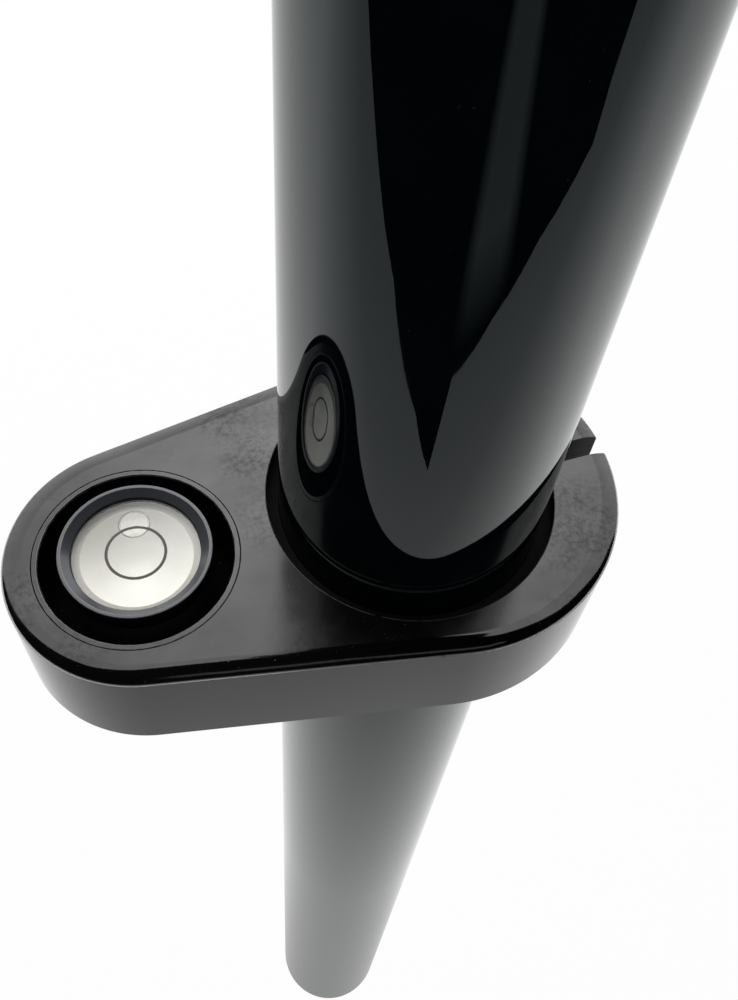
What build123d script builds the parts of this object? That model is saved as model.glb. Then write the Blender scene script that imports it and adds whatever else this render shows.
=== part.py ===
from build123d import *
from math import acos, atan2, degrees, hypot
import os

# Survey rover pole: three telescopic tubes with twist locks, a ground point, an antenna stud and a clamp-on
# bubble level. Millimetres, +Z up the pole, origin at the tip of the point, level towards -X.

# Fits
bond_gap = 0.05  # glued and pressed joints
running_gap = 0.06  # pieces that slide or turn on each other
loose_gap = 0.5  # parts that pass without touching
stop_gap = 0.5  # stowed section above the collar it stops on

# Tubes
tube_radius = 16.0
tube_wall = 1.5
tube_length = 600.0
nesting_gap = 0.5

# Ground point
point_length = 90.0
tip_length = 22.0
tip_radius = 5.2
tip_spigot_radius = 3.0
tip_spigot_length = 14.0
point_radius = 11.0
point_straight_length = 14.0
point_collar_radius = 13.0
point_collar_height = 8.0
point_neck_radius = 9.0
point_neck_height = 4.0
point_flats = 18.0
shank_radius = 5.0
shank_length = 26.0
insert_length = 35.0
insert_floor = 5.0

# Guide bush in the lower end of each sliding tube
glide_flange = 4.0
glide_spigot = 12.0
glide_wall = 2.0

# Twist lock
sleeve_length = 26.0
sleeve_wall = 3.0
seat_thickness = 2.0
nose_height = 12.0
nose_wall = 2.0
collet_wall = 1.9
collet_step = 0.8
collet_slots = 6
slot_width = 1.6
cone_height = 8.0
cone_taper = 1.1
cone_gap = 0.15
collar_wall = 3.2
collar_lip = 3.0
collar_edge = 1.0
flute_count = 18
flute_radius = 2.0
flute_depth = 0.8
flute_margin = 4.0

# Antenna head
head_sleeve_length = 24.0
head_wall = 2.6
head_cap = 8.0
shoulder_radius = 16.0
shoulder_height = 5.0
shoulder_edge = 0.8
head_flats = 27.0
stud_radius = 7.94
stud_length = 14.0
stud_chamfer = 1.2
stud_relief = 1.5
stud_relief_depth = 1.1
stud_shank_radius = 6.0

# Level bracket, heights measured down from its top face
level_height = 308.0  # top face above the tube's lower end
level_thickness = 15.5
cover_thickness = 0.8
cover_inset = 0.15  # narrow ledge of the body round the cover
crown_width = 2.0
crown_drop = 0.6
bottom_chamfer = 0.15
bore_chamfer = 0.35
liner_wall = 1.65
liner_recess = 3.0
liner_flange_width = 2.3
liner_flange_height = 1.2
clamp_wall = 4.7
pole_end_x = 3.06
pole_end_y = -0.49  # the outline's middle line passes beside the tube's axis, through the slit
web_between = 3.9
vial_rim_wall = 4.13
vial_end_inset = 0.75
slit_width = 2.6
slit_centre = -0.8

# Clamp screw across the slit
screw_radius = 1.5
screw_inset = 3.2  # from the bore's wall to the screw's axis
screw_drop = 8.0
screw_seat = 4.5
screw_length = 13.0
screw_head_radius = 2.75
screw_head_height = 3.0
screw_socket = 2.5
screw_socket_depth = 1.5
nut_width = 5.5
nut_thickness = 2.4
nut_place = -4.6

# Bubble level, heights measured from the bracket's top face
flange_radius = 8.69
flange_top = 1.5
flange_height = 2.6
flange_bevel = 0.09
flange_flat = 0.33
flange_width = 1.43
flange_fall = 0.71  # from the flat rim down to the glass
case_inset = 0.56
case_floor = 2.6
moat_width = 2.34
bezel_wall = 0.73
bezel_height = 6.0
bezel_chamfer = 0.15
glass_gap = 0.06
glass_edge = 0.4
glass_rise = 0.36
glass_thickness = 1.1
bowl_wall = 0.9
bowl_depth = 3.2
bowl_floor = 1.9
mark_radius = 3.33
mark_width = 0.34
mark_depth = 0.1
bubble_radius = 1.85
bubble_height = 0.5
bubble_margin = 0.15
bubble_angle = 82.0

# Adjusting screws and soft ring under the level
adjust_count = 3
adjust_circle = 6.0
adjust_first_angle = 90.0
adjust_radius = 1.0
adjust_clearance = 0.1
adjust_head_radius = 1.9
adjust_head_height = 1.3
adjust_recess = 0.3
adjust_grip = 2.1
adjust_slot = 0.5
adjust_slot_depth = 0.6
ring_section_radius = 1.2
ring_circle = 3.0
ring_slack = 0.1

# Radii of the nested tubes
tube_bore = tube_radius - tube_wall
mid_radius = tube_bore - nesting_gap
mid_bore = mid_radius - tube_wall
top_radius = mid_bore - nesting_gap
top_bore = top_radius - tube_wall

# Heights up the pole
tube_bottom = point_length
tube_top = tube_bottom + tube_length
lock_height = seat_thickness + nose_height + collet_step + cone_height + loose_gap + collar_lip
mid_sleeve_bottom = tube_top + lock_height + stop_gap
mid_top = mid_sleeve_bottom + sleeve_length
head_bottom = mid_top + lock_height + stop_gap
top_top = head_bottom + head_sleeve_length
head_top = top_top + head_cap + shoulder_height
mid_bottom = tube_bottom + insert_length + loose_gap + glide_flange
top_bottom = mid_bottom + glide_spigot + loose_gap + glide_flange

# Level bracket places
level_top = tube_bottom + level_height
level_bottom = level_top - level_thickness
cover_bottom = level_top - cover_thickness
bore_radius = tube_radius + running_gap + liner_wall + running_gap
pole_end_radius = bore_radius + clamp_wall
recess_radius = flange_radius + moat_width
bezel_radius = recess_radius + bezel_wall
vial_x = -(bore_radius + web_between + bezel_radius)
vial_end_x = vial_x + vial_end_inset
vial_end_radius = bezel_radius + vial_rim_wall
screw_x = bore_radius + screw_inset
screw_z = level_top - screw_drop

# Bubble level places
glass_radius = flange_radius - flange_width
glass_bottom = level_top + glass_edge - glass_thickness
bowl_mouth = glass_radius - bowl_wall
bowl_bottom = glass_bottom - bowl_depth - bowl_floor
case_radius = flange_radius - case_inset
case_bottom = bowl_bottom - case_floor
pocket_floor = case_bottom - ring_slack - 2 * ring_section_radius
bubble_offset = bowl_mouth - bubble_radius - bubble_margin
adjust_seat = level_bottom + adjust_recess + adjust_head_height
adjust_tip = case_bottom + adjust_grip


def ring(outer, inner, bottom, top):
    """A plain turned ring on the pole's axis."""
    return turned((inner, bottom), (outer, bottom), (outer, top), (inner, top))


def disc(radius, bottom, top):
    """A plain turned disc on the pole's axis."""
    return turned((0, bottom), (radius, bottom), (radius, top), (0, top))


def turned(*outline):
    """A piece turned on a lathe: its (radius, height) outline revolved about the pole's axis."""
    return revolve(Plane.XZ * make_face(Polyline(*outline, close=True)), Axis.Z)


def at_vial(piece):
    """A piece moved from the pole's axis to the level's axis."""
    return Pos(vial_x, 0, 0) * piece


def teardrop(bottom, top, inset=0.0):
    """Plate between two heights, its outline two round ends and their outer tangents moved in by the inset."""
    skew = degrees(atan2(pole_end_y, pole_end_x - vial_end_x))
    reach = hypot(pole_end_x - vial_end_x, pole_end_y)
    lean = degrees(acos((vial_end_radius - pole_end_radius) / reach))
    pole_end = CenterArc((pole_end_x, pole_end_y), pole_end_radius - inset, skew - lean, 2 * lean)
    vial_end = CenterArc((vial_end_x, 0), vial_end_radius - inset, skew + lean, 360 - 2 * lean)
    sides = [Line(pole_end @ 1, vial_end @ 0), Line(vial_end @ 1, pole_end @ 0)]
    return Pos(0, 0, bottom) * extrude(make_face([pole_end, vial_end, *sides]), top - bottom)


def slit(bottom, top):
    """The saw cut from inside the clamp's bore to beyond its round outer end."""
    length = pole_end_radius + pole_end_x
    cut = Box(length, slit_width, top - bottom, align=(Align.MIN, Align.CENTER, Align.MIN))
    return Pos(tube_bore, slit_centre, bottom) * cut


def rod_along_y(radius, start, end):
    """A round bar at the clamp screw's place, from one Y to another."""
    bar = Cylinder(radius, end - start, align=(Align.CENTER, Align.CENTER, Align.MIN))
    return Pos(screw_x, start, screw_z) * Rot(-90, 0, 0) * bar


def tube(radius, bottom, top):
    """One section of the pole."""
    return ring(radius, radius - tube_wall, bottom, top)


def foot_insert():
    """Plug bonded flush in the tube's end, with a blind hole for the point's shank."""
    plug = disc(tube_bore - bond_gap, tube_bottom, tube_bottom + insert_length)
    return plug - disc(shank_radius + bond_gap, tube_bottom, tube_bottom + insert_length - insert_floor)


def point_body():
    """Tapered point with a straight part for a spanner, a collar, a neck and a shank."""
    collar_bottom = point_length - point_neck_height - point_collar_height
    straight_bottom = collar_bottom - point_straight_length
    body = turned(
        (0, tip_length),
        (tip_radius, tip_length),
        (point_radius, straight_bottom),
        (point_radius, collar_bottom),
        (point_collar_radius, collar_bottom),
        (point_collar_radius, collar_bottom + point_collar_height),
        (point_neck_radius, collar_bottom + point_collar_height),
        (point_neck_radius, point_length),
        (shank_radius, point_length),
        (shank_radius, point_length + shank_length),
        (0, point_length + shank_length),
    )
    flat_size = (2 * point_radius, point_radius, point_straight_length)
    flat = Box(*flat_size, align=(Align.CENTER, Align.MIN, Align.MIN))
    for turn in (0, 180):
        body -= Rot(0, 0, turn) * Pos(0, point_flats / 2, straight_bottom) * flat
    return body - disc(tip_spigot_radius + bond_gap, tip_length, tip_length + tip_spigot_length)


def steel_tip():
    """Hardened cone with a spigot pressed into the point."""
    return turned(
        (0, 0),
        (tip_radius, tip_length),
        (tip_spigot_radius, tip_length),
        (tip_spigot_radius, tip_length + tip_spigot_length - bond_gap),
        (0, tip_length + tip_spigot_length - bond_gap),
    )


def glide(outer_bore, inner_bore, tube_end):
    """Guide bush: a flange that runs in the larger tube and a spigot bonded in the smaller one."""
    spigot = inner_bore - bond_gap
    flange = outer_bore - running_gap
    return turned(
        (spigot - glide_wall, tube_end - glide_flange),
        (flange, tube_end - glide_flange),
        (flange, tube_end),
        (spigot, tube_end),
        (spigot, tube_end + glide_spigot),
        (spigot - glide_wall, tube_end + glide_spigot),
    )


def collet_radius(inner):
    """Outer radius of the collet round a tube."""
    return inner + running_gap + collet_wall


def nose_radius(inner):
    """Outer radius of the ferrule's nose round that collet."""
    return collet_radius(inner) + bond_gap + nose_wall


def ferrule(outer, inner, top):
    """Sleeve bonded over a tube's end, with a seat on the end and a nose round the collet."""
    sleeve = ring(outer + sleeve_wall, outer + bond_gap, top - sleeve_length, top)
    seat = ring(outer + sleeve_wall, inner + loose_gap, top, top + seat_thickness)
    nose_bore = collet_radius(inner) + bond_gap
    nose = ring(nose_radius(inner), nose_bore, top + seat_thickness, top + seat_thickness + nose_height)
    return sleeve + seat + nose


def collet(inner, top):
    """Slotted sleeve whose coned end is squeezed onto the sliding tube."""
    bottom = top + seat_thickness
    cone_bottom = bottom + nose_height + collet_step
    grip = inner + running_gap
    outer = collet_radius(inner)
    sleeve = turned(
        (grip, bottom),
        (outer, bottom),
        (outer, cone_bottom),
        (outer - cone_taper, cone_bottom + cone_height),
        (grip, cone_bottom + cone_height),
    )
    slot_height = nose_height + cone_height
    cut = Box(outer, slot_width, slot_height, align=(Align.MIN, Align.CENTER, Align.MAX))
    cut_place = Pos(inner - nesting_gap, 0, cone_bottom + cone_height)
    for turn in range(collet_slots):
        sleeve -= Rot(0, 0, turn * 360 / collet_slots) * cut_place * cut
    return sleeve


def lock_collar(inner, top):
    """Fluted collar that turns on the ferrule's nose and draws its cone over the collet."""
    bottom = top + seat_thickness + stop_gap
    nose_top = top + seat_thickness + nose_height
    cone_bottom = nose_top + collet_step
    cone_top = cone_bottom + cone_height
    lip_bottom = cone_top + loose_gap
    collar_top = lip_bottom + collar_lip
    thread = nose_radius(inner) + running_gap
    outer = thread + collar_wall
    wide = collet_radius(inner) + cone_gap
    body = turned(
        (thread, bottom),
        (outer - collar_edge, bottom),
        (outer, bottom + collar_edge),
        (outer, collar_top - collar_edge),
        (outer - collar_edge, collar_top),
        (inner + loose_gap, collar_top),
        (inner + loose_gap, lip_bottom),
        (wide - cone_taper, lip_bottom),
        (wide - cone_taper, cone_top),
        (wide, cone_bottom),
        (wide, (nose_top + cone_bottom) / 2),
        (thread, (nose_top + cone_bottom) / 2),
    )
    flute_length = collar_top - bottom - 2 * flute_margin
    flute = Cylinder(flute_radius, flute_length, align=(Align.CENTER, Align.CENTER, Align.MIN))
    flute_place = Pos(outer + flute_radius - flute_depth, 0, bottom + flute_margin)
    for turn in range(flute_count):
        body -= Rot(0, 0, turn * 360 / flute_count) * flute_place * flute
    return body


def head_adapter():
    """Cap bonded over the top tube, with a broad shoulder for the antenna and spanner flats."""
    shoulder_bottom = top_top + head_cap
    body = turned(
        (top_radius + bond_gap, head_bottom),
        (top_radius + head_wall, head_bottom),
        (top_radius + head_wall, shoulder_bottom),
        (shoulder_radius - shoulder_edge, shoulder_bottom),
        (shoulder_radius, shoulder_bottom + shoulder_edge),
        (shoulder_radius, head_top - shoulder_edge),
        (shoulder_radius - shoulder_edge, head_top),
        (stud_shank_radius + bond_gap, head_top),
        (stud_shank_radius + bond_gap, top_top),
        (top_radius + bond_gap, top_top),
    )
    flat = Box(2 * shoulder_radius, shoulder_radius, head_cap, align=(Align.CENTER, Align.MIN, Align.MIN))
    for turn in (0, 180):
        body -= Rot(0, 0, turn) * Pos(0, head_flats / 2, top_top) * flat
    return body


def antenna_stud():
    """Stud with a relief above the shoulder and a shank pressed into the head."""
    stud_top = head_top + stud_length
    return turned(
        (0, top_top),
        (stud_shank_radius, top_top),
        (stud_shank_radius, head_top),
        (stud_radius - stud_relief_depth, head_top),
        (stud_radius - stud_relief_depth, head_top + stud_relief),
        (stud_radius, head_top + stud_relief),
        (stud_radius, stud_top - stud_chamfer),
        (stud_radius - stud_chamfer, stud_top),
        (0, stud_top),
    )


def clamp_liner():
    """Split sleeve between tube and bracket, with a flange under the bracket."""
    inner = tube_radius + running_gap
    outer = inner + liner_wall
    flange_bottom = level_bottom - liner_flange_height
    sleeve = turned(
        (inner, flange_bottom),
        (outer + liner_flange_width, flange_bottom),
        (outer + liner_flange_width, level_bottom),
        (outer, level_bottom),
        (outer, level_top - liner_recess),
        (inner, level_top - liner_recess),
    )
    return sleeve - slit(flange_bottom, level_top)


def level_body():
    """Teardrop body with the bore, the level's pocket, the slit, screw holes and a nut slot."""
    body = teardrop(level_bottom, cover_bottom)
    body = chamfer(body.faces().sort_by(Axis.Z)[0].edges(), bottom_chamfer)
    body -= disc(bore_radius, level_bottom, cover_bottom)
    body -= slit(level_bottom, cover_bottom)
    body -= at_vial(disc(bezel_radius + bond_gap, level_top - bezel_height, cover_bottom))
    body -= at_vial(disc(recess_radius, pocket_floor, cover_bottom))
    for angle in adjust_angles():
        place = adjust_place(angle)
        body -= place * disc(adjust_radius + adjust_clearance, level_bottom, pocket_floor)
        body -= place * disc(adjust_head_radius + adjust_clearance, level_bottom, adjust_seat)
    hole = screw_radius + running_gap
    head_hole = screw_head_radius + 2 * adjust_clearance
    body -= rod_along_y(hole, screw_seat - screw_length - loose_gap, screw_seat)
    body -= rod_along_y(head_hole, screw_seat, pole_end_radius)
    nut_slot = screw_z + nut_width / 2 + bond_gap - level_bottom
    slot_size = (nut_width + 2 * bond_gap, nut_thickness + 2 * bond_gap, nut_slot)
    slot = Box(*slot_size, align=(Align.CENTER, Align.MAX, Align.MIN))
    return body - Pos(screw_x, nut_place + bond_gap, level_bottom) * slot


def level_cover():
    """Thin top cover that falls away in a crown near its outline, with holes for tube and level, and the slit."""
    cover = teardrop(cover_bottom, level_top, cover_inset)
    top = cover.faces().sort_by(Axis.Z)[-1]
    cover = chamfer(top.edges(), crown_width, crown_drop, reference=top)
    cover -= turned(
        (0, cover_bottom),
        (bore_radius, cover_bottom),
        (bore_radius, level_top - bore_chamfer),
        (bore_radius + bore_chamfer, level_top),
        (0, level_top),
    )
    cover -= at_vial(disc(bezel_radius + bond_gap, cover_bottom, level_top))
    return cover - slit(cover_bottom, level_top)


def vial_bezel():
    """Thin ring that lines the mouth of the level's pocket."""
    bottom = level_top - bezel_height
    return at_vial(
        turned(
            (recess_radius, bottom),
            (bezel_radius, bottom),
            (bezel_radius, level_top),
            (recess_radius + bezel_chamfer, level_top),
            (recess_radius, level_top - bezel_chamfer),
        )
    )


def clamp_screw():
    """Socket-head screw that draws the two jaws together."""
    screw = rod_along_y(screw_radius, screw_seat - screw_length, screw_seat)
    screw += rod_along_y(screw_head_radius, screw_seat, screw_seat + screw_head_height)
    socket = extrude(RegularPolygon(screw_socket / 2, 6, major_radius=False), screw_socket_depth)
    socket_floor = screw_seat + screw_head_height - screw_socket_depth
    return screw - Pos(screw_x, socket_floor, screw_z) * Rot(-90, 0, 0) * socket


def clamp_nut():
    """Square nut held in a slot that opens under the bracket."""
    nut = Box(nut_width, nut_thickness, nut_width, align=(Align.CENTER, Align.MAX, Align.CENTER))
    nut = Pos(screw_x, nut_place, screw_z) * nut
    return nut - rod_along_y(screw_radius + running_gap, nut_place - nut_thickness, nut_place)


def adjust_angles():
    """Angles of the adjusting screws round the level's axis."""
    return [adjust_first_angle + turn * 360 / adjust_count for turn in range(adjust_count)]


def adjust_place(angle):
    """Where one adjusting screw stands."""
    return Pos(vial_x, 0, 0) * Rot(0, 0, angle) * Pos(adjust_circle, 0, 0)


def adjusting_screw(angle):
    """Slotted screw that holds the level's case from under the bracket."""
    head_bottom_z = adjust_seat - adjust_head_height
    screw = disc(adjust_radius, adjust_seat, adjust_tip)
    screw += disc(adjust_head_radius, head_bottom_z, adjust_seat)
    slot_size = (2 * adjust_head_radius, adjust_slot, adjust_slot_depth)
    slot = Box(*slot_size, align=(Align.CENTER, Align.CENTER, Align.MIN))
    return adjust_place(angle) * (screw - Pos(0, 0, head_bottom_z) * slot)


def vial_case():
    """Turned cup that holds glass and bowl, with a flange whose flat rim falls like a funnel to the glass."""
    top = level_top + flange_top
    bore = glass_radius + glass_gap
    case = at_vial(
        turned(
            (0, case_bottom),
            (case_radius, case_bottom),
            (case_radius, top - flange_height),
            (flange_radius, top - flange_height),
            (flange_radius, top - flange_bevel),
            (flange_radius - flange_bevel, top),
            (flange_radius - flange_bevel - flange_flat, top),
            (bore, top - flange_fall),
            (bore, bowl_bottom),
            (0, bowl_bottom),
        )
    )
    for angle in adjust_angles():
        hole = disc(adjust_radius + adjust_clearance, case_bottom, adjust_tip + adjust_clearance)
        case -= adjust_place(angle) * hole
    return case


def vial_bowl():
    """White cup with a hollow ground like a shallow sphere."""
    sphere = (bowl_mouth**2 + bowl_depth**2) / (2 * bowl_depth)
    centre = glass_bottom - bowl_depth + sphere
    return at_vial(disc(glass_radius, bowl_bottom, glass_bottom) - Pos(0, 0, centre) * Sphere(sphere))


def clear_top():
    """Clear cap of the level before its circle is printed: flat below and slightly domed above."""
    edge = level_top + glass_edge
    sphere = (glass_radius**2 + glass_rise**2) / (2 * glass_rise)
    ball = Pos(0, 0, edge + glass_rise - sphere) * Sphere(sphere)
    return disc(glass_radius, glass_bottom, edge + glass_rise) & ball


def mark_band():
    """The ring of the clear cap's surface that carries the printed circle."""
    sphere = (glass_radius**2 + glass_rise**2) / (2 * glass_rise)
    outer = mark_radius + mark_width / 2
    drop = outer**2 / (2 * sphere)
    crown = level_top + glass_edge + glass_rise
    return ring(outer, mark_radius - mark_width / 2, crown - drop - mark_depth, crown)


def vial_glass():
    """Clear cap with a shallow groove for the printed circle."""
    return at_vial(clear_top() - mark_band())


def vial_mark():
    """Printed circle that the bubble is brought into."""
    return at_vial(clear_top() & mark_band())


def bubble():
    """Air bubble, flat against the clear cap and rounded below."""
    top = glass_bottom - running_gap
    bow = ThreePointArc((0, -bubble_height), (bubble_radius * 0.7, -bubble_height * 0.6), (bubble_radius, 0))
    half = make_face([bow, Line((bubble_radius, 0), (0, 0)), Line((0, 0), (0, -bubble_height))])
    lens = revolve(Plane.XZ * half, Axis.Z)
    return at_vial(Rot(0, 0, bubble_angle) * Pos(bubble_offset, 0, top) * lens)


def vial_ring():
    """Soft ring that presses the level's case against its screws."""
    return at_vial(Pos(0, 0, pocket_floor + ring_section_radius) * Torus(ring_circle, ring_section_radius))


pieces = {
    "outer_tube": tube(tube_radius, tube_bottom, tube_top),
    "foot_insert": foot_insert(),
    "point_body": point_body(),
    "steel_tip": steel_tip(),
    "lower_ferrule": ferrule(tube_radius, mid_radius, tube_top),
    "lower_collet": collet(mid_radius, tube_top),
    "lower_lock_collar": lock_collar(mid_radius, tube_top),
    "mid_tube": tube(mid_radius, mid_bottom, mid_top),
    "mid_glide": glide(tube_bore, mid_bore, mid_bottom),
    "upper_ferrule": ferrule(mid_radius, top_radius, mid_top),
    "upper_collet": collet(top_radius, mid_top),
    "upper_lock_collar": lock_collar(top_radius, mid_top),
    "top_tube": tube(top_radius, top_bottom, top_top),
    "top_glide": glide(mid_bore, top_bore, top_bottom),
    "head_adapter": head_adapter(),
    "antenna_stud": antenna_stud(),
    "clamp_liner": clamp_liner(),
    "level_body": level_body(),
    "level_cover": level_cover(),
    "vial_bezel": vial_bezel(),
    "clamp_screw": clamp_screw(),
    "clamp_nut": clamp_nut(),
    "vial_case": vial_case(),
    "vial_bowl": vial_bowl(),
    "vial_glass": vial_glass(),
    "vial_mark": vial_mark(),
    "bubble": bubble(),
    "vial_ring": vial_ring(),
}
for number, angle in enumerate(adjust_angles(), start=1):
    pieces[f"adjusting_screw_{number}"] = adjusting_screw(angle)

os.makedirs("parts", exist_ok=True)
for name, piece in pieces.items():
    export_step(piece, f"parts/{name}.step")
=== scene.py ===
# Survey rover pole: the looks of each piece, in the order in which the pole is put together.
# Sizes are in millimetres in the part's own frame: +Z up the pole, the tip of the point at the origin.
import math

import bpy
import numpy as np
from mathutils import Matrix
from mathutils.geometry import tessellate_polygon


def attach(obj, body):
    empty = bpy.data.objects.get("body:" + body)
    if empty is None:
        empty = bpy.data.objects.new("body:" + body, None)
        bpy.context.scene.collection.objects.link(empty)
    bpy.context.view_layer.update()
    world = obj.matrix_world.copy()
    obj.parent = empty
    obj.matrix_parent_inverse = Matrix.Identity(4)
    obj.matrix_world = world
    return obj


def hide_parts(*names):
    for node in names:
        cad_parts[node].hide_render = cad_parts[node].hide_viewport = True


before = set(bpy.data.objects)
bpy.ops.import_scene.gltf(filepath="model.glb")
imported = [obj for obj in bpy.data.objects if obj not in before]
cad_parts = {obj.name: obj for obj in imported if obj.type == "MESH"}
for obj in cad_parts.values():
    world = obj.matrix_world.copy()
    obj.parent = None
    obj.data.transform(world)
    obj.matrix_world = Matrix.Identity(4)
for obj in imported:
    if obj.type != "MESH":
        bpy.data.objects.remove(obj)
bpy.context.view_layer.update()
scene = bpy.context.scene
mm = 0.001


# Steel tip
# A hardened steel cone, turned and then ground to its point. Its spigot is pressed into the end of the point.
# The lathe leaves fine rings on it, and the ground leaves earth and scratches on its lower end.
def eased(corners, break_size, ring=True, steps=4):
    """Breaks the corners of a (radius, height) outline that runs anticlockwise. A corner P becomes the curve
    (1-t)^2 a + 2t(1-t) P + t^2 b, where a and b lie on its two sides at the break's size, at most 0.3 of the
    shorter side. One more point on each side, 1.5 times as far out, keeps flat faces flat. Returns the points
    and their wear: 1 on an outer corner, 0 on a side."""
    corners = np.asarray(corners, float)
    sides = np.stack([np.roll(corners, 1, 0), np.roll(corners, -1, 0)]) - corners
    lengths = np.linalg.norm(sides, axis=2)[..., None]
    size = np.minimum(break_size, 0.3 * np.minimum(*lengths))
    to_a, to_b = (sides / lengths * size)[:, :, None]
    middle = corners[:, None]
    t = np.linspace(0, 1, steps + 1)[None, :, None]
    curve = (1 - t) ** 2 * (middle + to_a) + 2 * t * (1 - t) * middle + t**2 * (middle + to_b)
    points = np.concatenate([middle + to_a * 1.5, curve, middle + to_b * 1.5], axis=1)
    back, ahead = sides
    outer = back[:, 1] * ahead[:, 0] - back[:, 0] * ahead[:, 1] > 0
    edge_wear_and_light = outer[:, None] * np.concatenate([[0], np.sin(np.pi * t[0, :, 0]) ** 0.5, [0]])[None]
    if ring:
        return points.reshape(-1, 2), edge_wear_and_light.reshape(-1)
    points = np.concatenate([corners[:1], points[1:-1].reshape(-1, 2), corners[-1:]])
    return points, np.concatenate([[0], edge_wear_and_light[1:-1].reshape(-1), [0]])


def turned(outline, edge_wear_and_light, ring=True, segments=128, form=None, centre=(0.0, 0.0)):
    """A piece turned on a lathe: point (i, j) lies at the outline's radius i and height i, swung to angle j
    of a full turn about the centre, where form may change the radius with angle and height. A ring's outline
    closes on itself; any other starts and ends on the axis, where triangles fan out from one point."""
    angle = np.arange(segments) * 2 * np.pi / segments
    radius = outline[:, :1] + 0 * angle
    height = outline[:, 1:] + 0 * angle
    if form is not None:
        radius = form(radius, angle[None, :], height)
    points = np.stack([centre[0] + radius * np.cos(angle), centre[1] + radius * np.sin(angle), height], -1)
    rows = len(outline)
    number = np.arange(rows * segments).reshape(rows, segments)
    wear_and_painted_light = np.repeat(edge_wear_and_light[:, None], segments, 1)
    if ring:
        number = np.concatenate([number, number[:1]])
        points, wear_and_painted_light = points.reshape(-1, 3), wear_and_painted_light.reshape(-1)
    else:
        number = np.clip(number - segments + 1, 0, (rows - 2) * segments + 1)
        points = np.concatenate([points[0, :1], points[1:-1].reshape(-1, 3), points[-1, :1]])
        wear_and_painted_light = np.concatenate([wear_and_painted_light[0, :1], wear_and_painted_light[1:-1].reshape(-1), wear_and_painted_light[-1, :1]])
    beside = np.roll(number, -1, 1)
    quads = np.stack([number[:-1], beside[:-1], beside[1:], number[1:]], -1)
    if ring:
        return points, quads.reshape(-1, 4).tolist(), wear_and_painted_light
    fans = quads[0][:, 1:].tolist() + quads[-1][:, :3].tolist()
    return points, quads[1:-1].reshape(-1, 4).tolist() + fans, wear_and_painted_light


def shaped(name, points, faces, wear_and_painted_light, finish, crease=30.0):
    """An object at the origin with its place in its mesh, smooth up to the crease angle in degrees, and with
    its wear as the attribute `edge`, which on some edges holds a painted highlight line and on the bubble's
    rim painted shade."""
    mesh = bpy.data.meshes.new(name)
    mesh.from_pydata((np.asarray(points) * mm).tolist(), [], faces)
    mesh.attributes.new("edge", "FLOAT", "POINT").data.foreach_set("value", np.asarray(wear_and_painted_light, np.float32))
    mesh.shade_smooth()
    mesh.set_sharp_from_angle(angle=math.radians(crease))
    mesh.materials.append(finish.material)
    piece = bpy.data.objects.new(name, mesh)
    scene.collection.objects.link(piece)
    return piece


def lathed(name, corners, break_size, finish, ring=True, **turning):
    """A turned piece whose outline has broken corners."""
    return shaped(name, *turned(*eased(corners, break_size, ring), ring, **turning), finish)


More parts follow.
